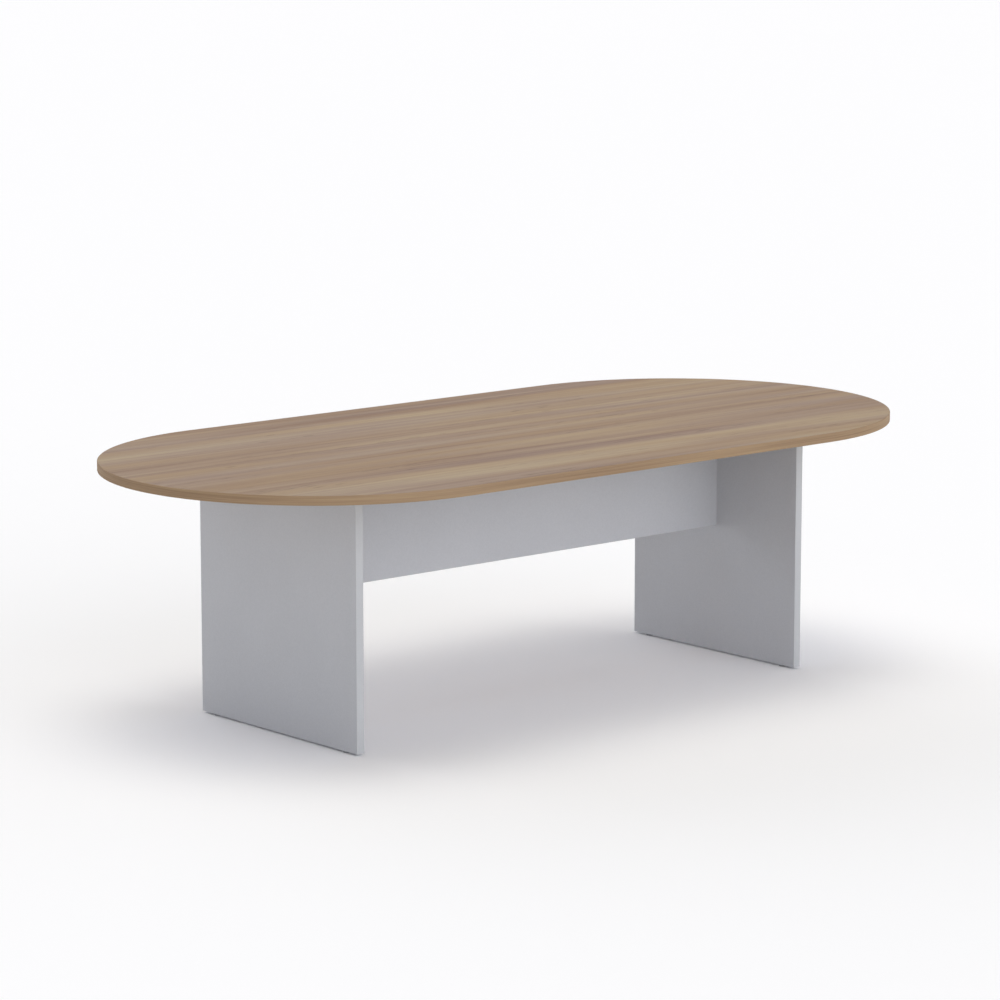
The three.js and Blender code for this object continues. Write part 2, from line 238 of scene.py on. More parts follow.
def findFixings():
    found = []
    for joint in behaviour["joints"]:
        name, isCam, _ = joint["name"].partition("_cam_turn")
        if isCam:
            face = Vector(joint["axis"])
            drum = Vector(joint["pos_m"])
            into = mainWay(drum - middle(name + "_cam_bolt"))
            dowelStart = (fixing["dowelInEdge"] - fixing["dowelInFace"]) / 2
            legOf = name.split("_")[1] if name.startswith("modesty") else name.split("_")[0]
            isTop = name.startswith("modesty_top") or not name.startswith("modesty")
            found.append({
                "name": name,
                "cam": framed(drum - into * fixing["inset"] * mm, into, face),
                "dowel": framed(middle(name + "_dowel") - into * dowelStart * mm, into, face),
                "host": "modesty_panel" if name.startswith("modesty") else legOf + "_leg_panel",
                "mate": "table_top_board" if isTop else legOf + "_leg_panel"})
    return found


fixings = findFixings()
feet = [side + "_" + end + "_foot" for side in sides for end in ends]


# Materials

mixA, mixB, mixed = 6, 7, 2  # the colour sockets of a Mix node


def linear(code):  # sRGB hex to linear
    channels = [int(code[place:place + 2], 16) / 255 for place in (1, 3, 5)]
    return [c / 12.92 if c <= 0.04045 else ((c + 0.055) / 1.055) ** 2.4 for c in channels] + [1]


def addNode(tree, kind, settings, links=None):  # a link comes from a socket, or from a node's first one
    node = tree.nodes.new("ShaderNode" + kind)
    for key, value in settings.items():
        if key == "stops":
            ramp = node.color_ramp.elements
            while len(ramp) < len(value):
                ramp.new(1)
            for stop, (place, colour) in zip(ramp, value):
                stop.position = place
                stop.color = colour
        elif isinstance(key, str) and hasattr(node, key):
            setattr(node, key, value)
        else:
            node.inputs[key].default_value = value
    for key, source in (links or {}).items():
        tree.links.new(source.outputs[0] if hasattr(source, "outputs") else source, node.inputs[key])
    return node


def newMaterial(name, surface):
    material = bpy.data.materials.new(name)
    material.use_nodes = True
    shader = material.node_tree.nodes["Principled BSDF"]
    for key, value in surface.items():
        shader.inputs[key].default_value = value
    return material, material.node_tree, shader


layerShift = 7.3  # in sizes of its noise, so that no layer repeats the one below


def overlay(tree, place, layers, average=0.5, slant=0):  # noises added up: (sizes in mm, detail, weight)
    start = average - sum(weight for _, _, weight in layers) / 2
    tone = None
    for count, (sizes, detail, weight) in enumerate(layers):
        size = Vector(sizes) * mm
        mapping = {"vector_type": "TEXTURE", "Scale": size, "Location": size * layerShift * count,
                   "Rotation": (0, 0, math.radians(slant))}
        spread = addNode(tree, "Mapping", mapping, {"Vector": place})
        noise = addNode(tree, "TexNoise", {"Scale": 1, "Detail": detail}, {"Vector": spread})
        tone = addNode(tree, "Math", {"operation": "MULTIPLY_ADD", 1: weight, 2: start},
                       {0: noise, **({2: tone} if tone else {})})
    return tone


def colourStops(colours):
    return [(spot, linear(code)) for spot, code in colours]


def dress(tree, shader, look, tone, relief):  # colour and gloss follow the tone, the bump follows the relief
    colour = addNode(tree, "ValToRGB", {"stops": colourStops(look["colours"])}, {"Fac": tone})
    roughest, smoothest = look["roughness"]
    gloss = addNode(tree, "MapRange", {"To Min": roughest, "To Max": smoothest}, {"Value": tone})
    height = {"Strength": look["bump"], "Distance": look["relief"] * mm}
    bump = addNode(tree, "Bump", height, {"Height": relief})
    tree.links.new(colour.outputs["Color"], shader.inputs["Base Color"])
    tree.links.new(gloss.outputs["Result"], shader.inputs["Roughness"])
    tree.links.new(bump.outputs["Normal"], shader.inputs["Normal"])
    return colour


def dressEvenly(tree, shader, look, place):  # the look's layers and grain, the same all over
    tone = overlay(tree, place, look["layers"])
    dress(tree, shader, look, tone, overlay(tree, place, [(look["grain"], 1, 1)]))


woodDecor = {
    "colours": [(0.0, "#8c725c"), (0.5, "#9c8469"), (1.0, "#a99474")],
    "mauve": [(0.0, "#877062"), (0.5, "#968171"), (1.0, "#a69378")],
    "cloudSize": (1500, 90, 90), "cloudRange": (0.36, 0.64),  # where honey tones turn to mauve ones
    "repeat": 800, "start": -200,  # the print starts again every 800 mm across the board
    "streaks": [(0, 0.4), (20, 0.6), (60, 0.5), (118, 0.1), (150, 0.4), (180, 0.72), (225, 0.5),
                (262, 0.4), (275, 0.1), (288, 0.45), (296, 0.7), (308, 0.5), (330, 0.45), (357, 0.15),
                (380, 0.45), (405, 0.65), (455, 0.35), (500, 0.7), (547, 1.0), (585, 0.75), (612, 0.85),
                (650, 0.45), (700, 0.05), (722, 0.45), (740, 0.25), (765, 0.1),
                (800, 0.4)],  # place in the repeat, tone from dark to light
    "sway": 14, "swaySize": (900, 240, 240),  # how far the streaks wander
    "fade": 0.54, "fadeSize": (900, 130, 130), "fadeRange": 1.0,  # where they come and go
    "layers": [((1000, 75, 75), 1, 0.8), ((900, 22, 22), 2, 0.9), ((420, 7, 7), 2, 0.6)],  # down to fibres
    "tick": "#6a5646", "tickSize": (60, 6, 6), "tickSlant": 5, "tickField": (650, 26, 26),
    "tickRange": (0.42, 0.5), "tickShare": 0.5,  # ticks 2 mm wide, drawn at 6 mm so that they show
    "poreSize": (34, 1.6, 1.6), "poreTone": 0.5, "roughness": (0.66, 0.54), "bump": 0.15, "relief": 0.05,
}


def woodGrainMelamine():
    # printed paper under melamine, pressed satin: long soft streaks, fine fibres, a few short dark ticks
    look = woodDecor
    material, tree, shader = newMaterial("woodGrainMelamine", {"IOR": 1.5, "Specular IOR Level": 0.08})
    place = addNode(tree, "TexCoord", {}).outputs["Object"]
    axes = addNode(tree, "SeparateXYZ", {}, {"Vector": place})
    sway = overlay(tree, place, [(look["swaySize"], 1, 2 * look["sway"] * mm)], -look["start"] * mm)
    across = addNode(tree, "Math", {"operation": "ADD"}, {0: axes.outputs["Y"], 1: sway})
    repeats = addNode(tree, "Math", {"operation": "DIVIDE", 1: look["repeat"] * mm}, {0: across})
    inRepeat = addNode(tree, "Math", {"operation": "FRACT"}, {0: repeats})
    stops = [(spot / look["repeat"], (tone, tone, tone, 1)) for spot, tone in look["streaks"]]
    streaks = addNode(tree, "ValToRGB", {"stops": stops}, {"Fac": inRepeat})
    fade = overlay(tree, place, [(look["fadeSize"], 1, look["fadeRange"])], look["fade"])
    faded = addNode(tree, "Mix", {"clamp_factor": False, "A": 0.5}, {"Factor": fade, "B": streaks})
    fibres = overlay(tree, place, look["layers"], -look["poreTone"] / 2)
    tone = addNode(tree, "Math", {"operation": "ADD"}, {0: faded, 1: fibres})
    pores = overlay(tree, place, [(look["poreSize"], 2, 1)])
    tone = addNode(tree, "Math", {"operation": "MULTIPLY_ADD", 1: look["poreTone"]}, {0: pores, 2: tone})
    colour = dress(tree, shader, look, tone, pores)
    mauve = addNode(tree, "ValToRGB", {"stops": colourStops(look["mauve"])}, {"Fac": tone})
    cloud = overlay(tree, place, [(look["cloudSize"], 1, 1)])
    honeyEnd, mauveEnd = look["cloudRange"]
    share = addNode(tree, "MapRange", {"From Min": honeyEnd, "From Max": mauveEnd}, {"Value": cloud})
    clouded = addNode(tree, "Mix", {"data_type": "RGBA"}, {"Factor": share, mixA: colour, mixB: mauve})
    ticks = overlay(tree, place, [(look["tickSize"], 0, 1)], slant=look["tickSlant"])
    field = overlay(tree, place, [(look["tickField"], 1, 1)])
    both = addNode(tree, "Math", {"operation": "MULTIPLY"}, {0: ticks, 1: field})
    faintest, fullest = look["tickRange"]
    strength = {"From Min": faintest, "From Max": fullest, "To Max": look["tickShare"]}
    mask = addNode(tree, "MapRange", strength, {"Value": both})
    ticked = addNode(tree, "Mix", {"data_type": "RGBA", mixB: linear(look["tick"])},
                     {"Factor": mask, mixA: clouded.outputs[mixed]})
    tree.links.new(ticked.outputs[mixed], shader.inputs["Base Color"])
    return material


woodStripDecor = {
    "colours": [(0.0, "#7d654f"), (0.5, "#957d63"), (1.0, "#a89171")],
    "layers": [((700, 60, 60), 1, 0.45), ((420, 30, 5), 1, 0.8), ((160, 30, 1.2), 2, 0.7)],
    "grain": (40, 30, 0.5), "roughness": (0.68, 0.58), "bump": 0.12, "relief": 0.04,
}


def woodToneStrip():
    # printed ABS edge strip, lacquered satin: warmer than the top, fine streaks along its length
    look = woodStripDecor
    material, tree, shader = newMaterial("woodToneAbs", {"IOR": 1.5, "Specular IOR Level": 0.06})
    run = addNode(tree, "Attribute", {"attribute_name": "run"}).outputs["Fac"]
    place = addNode(tree, "TexCoord", {}).outputs["Object"]
    height = addNode(tree, "SeparateXYZ", {}, {"Vector": place}).outputs["Z"]
    along = addNode(tree, "CombineXYZ", {}, {"X": run, "Z": height})
    tone = overlay(tree, along, look["layers"])
    dress(tree, shader, look, tone, overlay(tree, along, [(look["grain"], 1, 1)]))
    return material


silverDecor = {
    "colours": [(0.0, "#b5b6b9"), (1.0, "#c0c1c4")],
    "layers": [((260, 260, 260), 1, 0.6), ((4, 4, 4), 1, 0.9)],  # 0.3 mm flecks, drawn at 4 mm to show
    "grain": (1.2, 1.2, 1.2), "roughness": (0.56, 0.46), "bump": 0.1, "relief": 0.03,
}


def silverMelamine():
    # grey paper with pearl ink under melamine, pressed matt: even, with a faint fleck
    look = silverDecor
    material, tree, shader = newMaterial("silverMelamine", {"IOR": 1.5, "Specular IOR Level": 0.3})
    place = addNode(tree, "TexCoord", {}).outputs["Object"]
    dressEvenly(tree, shader, look, place)
    return material


silverStripDecor = {
    "colours": [(0.0, "#b0b1b2"), (1.0, "#babbbc")],
    "layers": [((180, 180, 180), 1, 0.6), ((2.5, 2.5, 2.5), 1, 0.8)],
    "grain": (0.8, 0.8, 0.8), "roughness": (0.48, 0.38), "bump": 0.08, "relief": 0.02,
}


def silverStrip():
    # dyed ABS edge strip, scraped and buffed: plain grey, a little smoother than the boards
    look = silverStripDecor
    material, tree, shader = newMaterial("silverAbs", {"IOR": 1.53, "Specular IOR Level": 0.4})
    place = addNode(tree, "TexCoord", {}).outputs["Object"]
    dressEvenly(tree, shader, look, place)
    return material


chipCore = {
    "colours": [(0.0, "#7d5f3c"), (0.4, "#a98659"), (0.7, "#c3a271"), (1.0, "#d9c093")],
    "chip": (5, 5, 5), "dust": (1.2, 1.2, 1.2), "dustRange": (6, 7),  # mm from the board's middle
    "roughness": (0.95, 0.8), "bump": 0.5, "relief": 0.2,
}


def chipboard():
    # pressed wood chips, sawn and drilled: coarse pale and brown chips, fine ones near both faces
    look = chipCore
    material, tree, shader = newMaterial("chipboard", {"IOR": 1.5, "Specular IOR Level": 0.1})
    place = addNode(tree, "TexCoord", {}).outputs["Object"]
    chips = []
    for size in (look["chip"], look["dust"]):
        mapping = {"vector_type": "TEXTURE", "Scale": Vector(size) * mm}
        spread = addNode(tree, "Mapping", mapping, {"Vector": place})
        chips.append(addNode(tree, "TexVoronoi", {"Scale": 1}, {"Vector": spread}))
    depth = addNode(tree, "Attribute", {"attribute_name": "depth"}).outputs["Fac"]
    fromMiddle = addNode(tree, "Math", {"operation": "ABSOLUTE"}, {0: depth})
    coarseEnd, fineStart = [distance * mm for distance in look["dustRange"]]
    isFine = addNode(tree, "MapRange", {"From Min": coarseEnd, "From Max": fineStart}, {"Value": fromMiddle})
    coarse, fine = [chip.outputs["Color"] for chip in chips]
    tone = addNode(tree, "Mix", {"data_type": "RGBA"}, {"Factor": isFine, mixA: coarse, mixB: fine})
    dress(tree, shader, look, tone.outputs[mixed], chips[0].outputs["Distance"])
    return material


zincCasting = {
    "colours": [(0.0, "#a6a8ab"), (1.0, "#c0c2c5")],
    "layers": [((5, 5, 5), 1, 1.0), ((0.6, 0.6, 0.6), 1, 0.6)],
    "grain": (0.4, 0.4, 0.4), "roughness": (0.52, 0.34), "bump": 0.25, "relief": 0.03,
}


def dieCastZinc():
    # zinc from a hot die, tumbled: dull silver with cloudy flow marks and a fine skin
    look = zincCasting
    material, tree, shader = newMaterial("dieCastZinc", {"Metallic": 1})
    own = addNode(tree, "Attribute", {"attribute_name": "own"}).outputs["Vector"]
    dressEvenly(tree, shader, look, own)
    return material


steelPlating = {
    "colours": [(0.0, "#b4b4b2"), (0.5, "#c4c3bd"), (1.0, "#cdcab9")],
    "layers": [((7, 7, 7), 1, 1.2), ((0.5, 0.5, 2), 1, 0.5)],
    "grain": (0.3, 0.3, 1), "roughness": (0.38, 0.24), "bump": 0.12, "relief": 0.02,
}


def zincPlatedSteel():
    # turned and rolled steel under bright zinc: shiny, with a pale yellow cast here and there
    look = steelPlating
    material, tree, shader = newMaterial("zincPlatedSteel", {"Metallic": 1})
    own = addNode(tree, "Attribute", {"attribute_name": "own"}).outputs["Vector"]
    dressEvenly(tree, shader, look, own)
    return material


beechGrain = {
    "colours": [(0.0, "#a57c52"), (0.45, "#cba77b"), (1.0, "#dcbf97")],
    "layers": [((3, 3, 60), 1, 0.8), ((0.5, 0.5, 4), 1, 1.0)],  # pale wood with rays a few millimetres long
    "grain": (0.3, 0.3, 8), "roughness": (0.85, 0.7), "bump": 0.3, "relief": 0.05,
}


def beechWood():
    # beech rod, fluted and sawn: pale, straight-grained, with short brown rays
    look = beechGrain
    material, tree, shader = newMaterial("beech", {"IOR": 1.5, "Specular IOR Level": 0.2})
    own = addNode(tree, "Attribute", {"attribute_name": "own"}).outputs["Vector"]
    dressEvenly(tree, shader, look, own)
    return material


nylonSkin = {
    "colours": [(0.0, "#8a8c90"), (1.0, "#9c9ea2")],
    "layers": [((6, 6, 6), 1, 0.8), ((0.7, 0.7, 0.7), 1, 0.8)],
    "grain": (0.4, 0.4, 0.4), "roughness": (0.66, 0.48), "bump": 0.3, "relief": 0.03,
}


def greyNylon():
    # nylon moulded against an eroded die: grey with a fine dull skin
    look = nylonSkin
    material, tree, shader = newMaterial("greyNylon", {"IOR": 1.53, "Specular IOR Level": 0.5})
    own = addNode(tree, "Attribute", {"attribute_name": "own"}).outputs["Vector"]
    dressEvenly(tree, shader, look, own)
    return material


# Holes that the boards have for their fixings

hole = {
    "drumRadius": 7.5, "drumDepth": 18, "channelRadius": 4, "threadRadius": 3.3, "threadDepth": 12,
    "dowelRadius": 4.3, "dowelSpace": 0.5, "sleeveRadius": 6.8, "sleeveTop": 34, "flangeRadius": 9.8,
    "overcut": 1, "facets": 48,
}


def drill(place, radius, start, finish):  # start and finish are points in mm of a fixing's own frame
    points = [place @ (Vector(point) * mm) for point in (start, finish)]
    return rod(radius * mm, *points, hole["facets"])


def fixingDrills(board):
    out = hole["overcut"]
    half = fixing["board"] / 2
    inset = fixing["inset"]
    drills = []
    for joint in fixings:
        if joint["host"] == board:
            dowelEnd = fixing["dowelInEdge"] + hole["dowelSpace"]
            bore = ((inset, 0, half + out), (inset, 0, half - hole["drumDepth"]))
            drills.append(drill(joint["cam"], hole["drumRadius"], *bore))
            drills.append(drill(joint["cam"], hole["channelRadius"], (-out, 0, 0), (inset, 0, 0)))
            drills.append(drill(joint["dowel"], hole["dowelRadius"], (-out, 0, 0), (dowelEnd, 0, 0)))
        if joint["mate"] == board:
            dowelEnd = fixing["dowelInFace"] + hole["dowelSpace"]
            threadEnd = (-hole["threadDepth"], 0, 0)
            drills.append(drill(joint["cam"], hole["threadRadius"], (out, 0, 0), threadEnd))
            drills.append(drill(joint["dowel"], hole["dowelRadius"], (out, 0, 0), (-dowelEnd, 0, 0)))
    return drills


def footDrills(side, radius, bottom, top):
    drills = []
    for end in ends:
        place = Matrix.Translation(middle(side + "_" + end + "_foot_sleeve") * Vector((1, 1, 0)))
        drills.append(drill(place, radius, (0, 0, bottom), (0, 0, top)))
    return drills


def showCore(piece, axis):  # cut edges and hole walls take the second material, the two faces the first
    low = min(vertex.co[axis] for vertex in piece.data.vertices)
    high = max(vertex.co[axis] for vertex in piece.data.vertices)
    for face in piece.data.polygons:
        onFace = near(face.center[axis], low) or near(face.center[axis], high)
        face.material_index = 0 if onFace else 1
    depth = piece.data.attributes.new("depth", "FLOAT", "POINT")  # metres from the board's middle
    for vertex in piece.data.vertices:
        depth.data[vertex.index].value = vertex.co[axis] - (low + high) / 2


# Table top: a racetrack board with one strip right round it

topBoard = {"arcSteps": 48}


def racetrack(low, high):
    onlyThis(None)
    bpy.ops.mesh.primitive_plane_add(size=1)
    bpy.ops.transform.resize(value=(high.x - low.x, high.y - low.y, 1))
    bpy.ops.transform.translate(value=(0, 0, low.z))
    piece = settle(bpy.context.object)
    openMesh(piece)
    bpy.ops.mesh.bevel(offset=(high.y - low.y) / 2, segments=topBoard["arcSteps"], affect="VERTICES",
                       clamp_overlap=False)
    bpy.ops.mesh.select_all(action="SELECT")
    bpy.ops.mesh.remove_doubles(threshold=tiny)
    return piece


def buildTopBoard(decor, core):
    low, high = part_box("table_top_board")
    piece = racetrack(low, high)
    bpy.ops.mesh.extrude_region_move(TRANSFORM_OT_translate={"value": (0, 0, high.z - low.z)})
    closeMesh()
    combine(piece, "DIFFERENCE", fixingDrills("table_top_board"))
    standFor(piece, "table_top_board", decor, core)
    showCore(piece, 2)


topBand = {"thickness": 1.8, "arris": 1.5, "arrisSteps": 5, "buttGap": 0.15, "slitReach": 10}


def buildTopBand(material):
    low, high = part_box("table_top_edge_band")
    radius = high.y
    straight = high.x - radius
    piece = racetrack(low, high)
    bpy.ops.mesh.select_mode(type="FACE")
    bpy.ops.mesh.select_all(action="SELECT")
    bpy.ops.mesh.inset(thickness=topBand["thickness"] * mm)
    bpy.ops.mesh.delete(type="FACE")
    bpy.ops.mesh.select_all(action="SELECT")
    bpy.ops.mesh.extrude_region_move(TRANSFORM_OT_translate={"value": (0, 0, high.z - low.z)})

    def outside(co):
        return math.hypot(max(abs(co.x) - straight, 0), co.y) > radius - topBand["thickness"] * mm / 2

    for height in (low.z, high.z):
        pick(piece, "EDGE", lambda co: outside(co) and near(co.z, height))
        bpy.ops.mesh.bevel(offset=topBand["arris"] * mm, segments=topBand["arrisSteps"])
    closeMesh()
    gap = topBand["buttGap"] * mm / 2  # the strip's two ends meet at the rear
    reach = Vector((0, 1, 1)) * topBand["slitReach"] * mm
    slit = block(Vector((-gap, radius, low.z)) - reach, Vector((gap, radius, high.z)) + reach)
    combine(piece, "DIFFERENCE", [slit])
    run = piece.data.attributes.new("run", "FLOAT", "POINT")  # metres along the strip from its middle
    for vertex in piece.data.vertices:
        x, y, _ = vertex.co
        if abs(x) > straight:
            along = straight + math.atan2(abs(x) - straight, -y) * radius
        else:
            along = abs(x) if y < 0 else 2 * straight + math.pi * radius - abs(x)
        run.data[vertex.index].value = math.copysign(along, x)
    standFor(piece, "table_top_edge_band", material)


# Legs and modesty panel: drilled slabs with rounded strips on the edges that show

slabBand = {"arris": 1.5, "arrisSteps": 5}


def buildSlab(node, axis, extraDrills, decor, core):
    piece = block(*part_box(node))
    combine(piece, "DIFFERENCE", fixingDrills(node) + extraDrills)
    standFor(piece, node, decor, core)
    showCore(piece, axis)


def buildStrip(node, along, outward, material):  # the two outer corners are rounded along the strip
    low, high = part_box(node)
    piece = block(low, high)
    axis = max(range(3), key=lambda index: abs(outward[index]))
    across = 3 - along - axis
    face = high[axis] if outward[axis] > 0 else low[axis]
    for corner in (low[across], high[across]):
        openMesh(piece)
        pick(piece, "EDGE", lambda co: near(co[axis], face) and near(co[across], corner))
        bpy.ops.mesh.bevel(offset=slabBand["arris"] * mm, segments=slabBand["arrisSteps"])
        closeMesh()
    standFor(piece, node, material)


def buildLegs(decor, core, strip):
    for side in sides:
        leg = side + "_leg_"
        sleeveHoles = footDrills(side, hole["sleeveRadius"], 0, hole["sleeveTop"])
        buildSlab(leg + "panel", 0, sleeveHoles, decor, core)
        for end, way in zip(ends, (-1, 1)):
            buildStrip(leg + end + "_edge_band", 2, Vector((0, way, 0)), strip)
        sole = block(*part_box(leg + "bottom_edge_band"))
        combine(sole, "DIFFERENCE", footDrills(side, hole["flangeRadius"], 0, hole["sleeveTop"]))
        standFor(sole, leg + "bottom_edge_band", strip)


def buildModestyPanel(decor, core, strip):
    buildSlab("modesty_panel", 1, [], decor, core)
    buildStrip("modesty_panel_edge_band", 0, Vector((0, 0, -1)), strip)


# Cam drum about Z, its origin on the bolt's line, mouth towards +X until it is turned to its locked place

camDrum = {
    "radius": 7.2, "face": 12.2, "height": 17.2, "rounding": 0.6, "roundingSteps": 3, "facets": 64,
    "sweep": 200, "turn": 160, "openRadius": 5.2, "tightRadius": 4.2, "returnFrom": 320,
    "ballRadius": 3.4, "neckRadius": 1.9, "clear": 0.3, "cavityClear": 0.45, "overcut": 1,
    "crossLength": 9, "crossWidth": 1.8, "crossDepth": 3, "crossTaper": 0.75,
    "markLength": 1.6, "markPlace": 5.6, "markDepth": 0.3,
}


def spiralCavity():
    look = camDrum
    half = (look["ballRadius"] + look["cavityClear"]) * mm
    cavity = rod(mm, Vector((0, 0, -half)), Vector((0, 0, half)), look["facets"])
    cavity.rotation_euler.z = math.pi / look["facets"]  # no corner in line with the mouth
    settle(cavity)
    for vertex in cavity.data.vertices:
        angle = math.degrees(math.atan2(vertex.co.y, vertex.co.x)) % 360
        tightening = min(angle / look["sweep"], 1)
        returning = max((angle - look["returnFrom"]) / (360 - look["returnFrom"]), 0)
        drawn = (look["tightRadius"] - look["openRadius"]) * (tightening - returning)
        vertex.co.xy = vertex.co.xy.normalized() * (look["openRadius"] + drawn) * mm
    return cavity


def neckSlot():
    half = camDrum["neckRadius"] + camDrum["clear"]
    reach = camDrum["radius"] + camDrum["overcut"]
    slot = wire([(0, -half), (reach, -half), (reach, half), (0, half)])
    bpy.ops.mesh.select_all(action="SELECT")
    bpy.ops.mesh.edge_face_add()
    bpy.ops.mesh.spin(steps=camDrum["facets"] // 2, angle=math.radians(camDrum["sweep"]),
                      center=(0, 0, 0), axis=(0, 0, 1))
    closeMesh()
    return slot


def driverCross():  # two slots that narrow downwards
    slots = []
    top = camDrum["face"] * mm
    depth = camDrum["crossDepth"] * mm
    for length, width in ((camDrum["crossLength"], camDrum["crossWidth"]),
                          (camDrum["crossWidth"], camDrum["crossLength"])):
        size = Vector((length, width, 0)) * mm / 2
        slot = block(Vector((0, 0, top - depth)) - size, Vector((0, 0, top + depth)) + size)
        openMesh(slot)
        pick(slot, "FACE", lambda co: near(co.z, top - depth))
        bpy.ops.transform.resize(value=(camDrum["crossTaper"], camDrum["crossTaper"], 1))
        bpy.ops.object.mode_set(mode="OBJECT")
        slots.append(slot)
    return slots


def mouthMark():  # a small triangle on the face that points at the mouth
    face = camDrum["face"]
    bottom = Vector((0, 0, (face - camDrum["markDepth"]) * mm))
    top = Vector((0, 0, (face + camDrum["overcut"]) * mm))
    mark = rod(camDrum["markLength"] * mm / 2, bottom, top, 3)
    mark.rotation_euler.z = math.radians(-90)
    mark.location.x = camDrum["markPlace"] * mm
    return settle(mark)


def modelCamDrum():
    look = camDrum
    bottom = look["face"] - look["height"]
    radius, face = look["radius"], look["face"]
    drum = turned([(0, bottom), (radius, bottom), (radius, face), (0, face)], look["facets"])
    roundRims(drum, [(radius, face)], look["rounding"], look["roundingSteps"])
    mouthRadius = (look["ballRadius"] + look["clear"]) * mm
    mouthEnd = Vector(((radius + look["overcut"]) * mm, 0, 0))
    mouth = rod(mouthRadius, Vector((0, 0, 0)), mouthEnd, look["facets"] // 2)
    combine(drum, "DIFFERENCE", [spiralCavity(), neckSlot(), mouth, *driverCross(), mouthMark()])
    keepOwnPlace(drum)
    drum.rotation_euler.z = math.radians(180 - look["turn"])
    return settle(drum)


# Bolt along Z from the joint: thread below, shank, neck and ball above

camBolt = {
    "coreRadius": 2.1, "crestRadius": 3, "threadPitch": 2, "threadLength": 11, "threadTop": -0.5,
    "tip": 1.5, "tipClear": 0.1, "stub": 1, "shankRadius": 3.5, "rounding": 0.4, "roundingSteps": 2,
    "neckStart": 26, "neckRadius": 1.9, "ballRadius": 3.4, "ballPlace": 32.7, "ballFlat": 2.4,
    "ballSteps": 12, "facets": 40,
}


def modelCamBolt():
    look = camBolt
    core, shank, neck, ball = look["coreRadius"], look["shankRadius"], look["neckRadius"], look["ballRadius"]
    first = math.asin(neck / ball)
    last = math.pi - math.acos(look["ballFlat"] / ball)
    angles = [first + (last - first) * step / look["ballSteps"] for step in range(look["ballSteps"] + 1)]
    curve = [(ball * math.sin(angle), look["ballPlace"] - ball * math.cos(angle)) for angle in angles]
    neckStart, stub = look["neckStart"], look["stub"]
    body = turned([(0, -stub), (core, -stub), (core, 0), (shank, 0), (shank, neckStart), (neck, neckStart),
                   *curve, (0, look["ballPlace"] + look["ballFlat"])], look["facets"])
    roundRims(body, [(shank, 0), (shank, neckStart)], look["rounding"], look["roundingSteps"])
    crest, tip, length = look["crestRadius"], look["tip"], look["threadLength"]
    thread = threaded(core, crest, look["threadPitch"], -length, look["threadTop"], look["facets"])
    outside = crest + look["tipClear"]
    outline = [(0, -length), (crest - tip, -length), (outside, tip - length), (outside, 0), (0, 0)]
    point = turned(outline, look["facets"])
    combine(thread, "INTERSECT", [point])
    combine(body, "UNION", [thread])
    keepOwnPlace(body)
    return body


# Dowel along Z across the joint, fluted, with chamfered ends

dowel = {"radius": 4, "flutes": 8, "fluteDepth": 0.3, "chamfer": 1, "facets": 64}


def modelDowel():
    low = -fixing["dowelInFace"]
    high = fixing["dowelInEdge"]
    chamfer = dowel["chamfer"] * mm
    bottom, top = low * mm + chamfer, high * mm - chamfer
    piece = rod(dowel["radius"] * mm, Vector((0, 0, bottom)), Vector((0, 0, top)), dowel["facets"])
    step = math.tau / dowel["flutes"]
    halfFacet = math.pi / dowel["facets"]
    openMesh(piece)
    pick(piece, "VERT", lambda co: abs((math.atan2(co.y, co.x) + step / 2) % step - step / 2) < halfFacet)
    floor = 1 - dowel["fluteDepth"] / dowel["radius"]
    bpy.ops.transform.resize(value=(floor, floor, 1), center_override=(0, 0, 0))
    for height, way in ((bottom, -1), (top, 1)):
        pick(piece, "FACE", lambda co: near(co.z, height))
        bpy.ops.mesh.extrude_region_move(TRANSFORM_OT_translate={"value": (0, 0, way * chamfer)})
        taper = 1 - dowel["chamfer"] / dowel["radius"]
        bpy.ops.transform.resize(value=(taper, taper, 1))
    closeMesh()
    keepOwnPlace(piece)
    return piece


def placeFixings(zinc, steel, beech):
    onEnd = Matrix(((0, 0, 1, 0), (1, 0, 0, 0), (0, 1, 0, 0), (0, 0, 0, 1)))  # a master's Z onto a fixing's X
    drum, bolt, peg = modelCamDrum(), modelCamBolt(), modelDowel()
    toDrum = Matrix.Translation((fixing["inset"] * mm, 0, 0))
    for joint in fixings:
        standFor(copyPiece(drum, joint["cam"] @ toDrum), joint["name"] + "_cam", zinc)
        standFor(copyPiece(bolt, joint["cam"] @ onEnd), joint["name"] + "_cam_bolt", steel)
        standFor(copyPiece(peg, joint["dowel"] @ onEnd), joint["name"] + "_dowel", beech)
    for master in (drum, bolt, peg):
        bpy.data.objects.remove(master)


# Levelling foot about Z from the floor: swivel pad, threaded stud with a hexagon, flanged sleeve

foot = {
    "padRadius": 11, "padHeight": 2.4, "padRounding": 0.6, "padSteps": 4,
    "socketRadius": 3.8, "socketFloor": 0.9, "socketRounding": 0.2,
    "spigotRadius": 3.5, "spigotFloor": 1.2, "spigotRounding": 0.3,
    "hexRadius": 9.8, "hexLow": 2.6, "hexHigh": 4.7, "hexRounding": 0.35, "smallSteps": 2,
    "crestRadius": 4, "crestClear": 0.05, "coreRadius": 3.25, "threadPitch": 1.25,
    "studTop": 32, "studChamfer": 0.8, "boreRadius": 4.3, "sleeveRadius": 6, "sleeveTop": 27,
    "flangeRadius": 9.5, "flangeLow": 5, "flangeHigh": 6, "flangeRounding": 0.4, "flangeSteps": 3,
    "barb": 0.5, "barbs": 2, "facets": 64,
}


